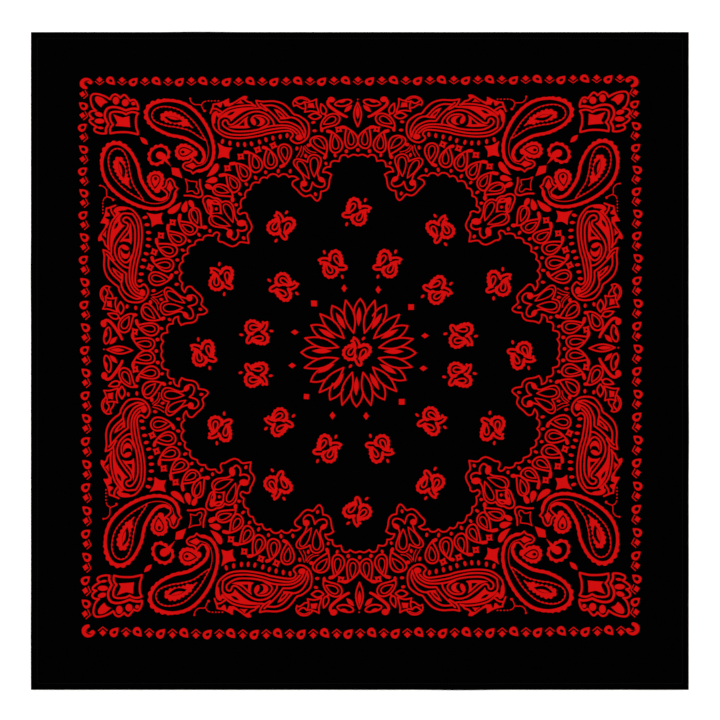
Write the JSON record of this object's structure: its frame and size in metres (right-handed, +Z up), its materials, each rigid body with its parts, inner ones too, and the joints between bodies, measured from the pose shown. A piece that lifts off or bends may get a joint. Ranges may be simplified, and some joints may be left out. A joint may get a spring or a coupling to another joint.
{
  "type": "bandana laid flat",
  "caption": "Square black cotton bandana with a red paisley print, laid flat, its four edges turned under as narrow stitched hems.",
  "frame": {"origin": "middle of the underside, on the surface that the cloth lies on", "axes": "+Z up out of the printed face, +Y towards the top edge and +X towards the right edge as the printed face is looked at from above"},
  "size_m": [0.559, 0.559, 0.0037],
  "materials": {
    "cotton_black": "matt",
    "print_red": "matt",
    "thread_black": "matt"
  },
  "bodies": {
    "root": {"panel": "cotton_black", "hem_top": "cotton_black", "hem_left": "cotton_black", "hem_bottom": "cotton_black", "hem_right": "cotton_black"}
  },
  "joints": []
}
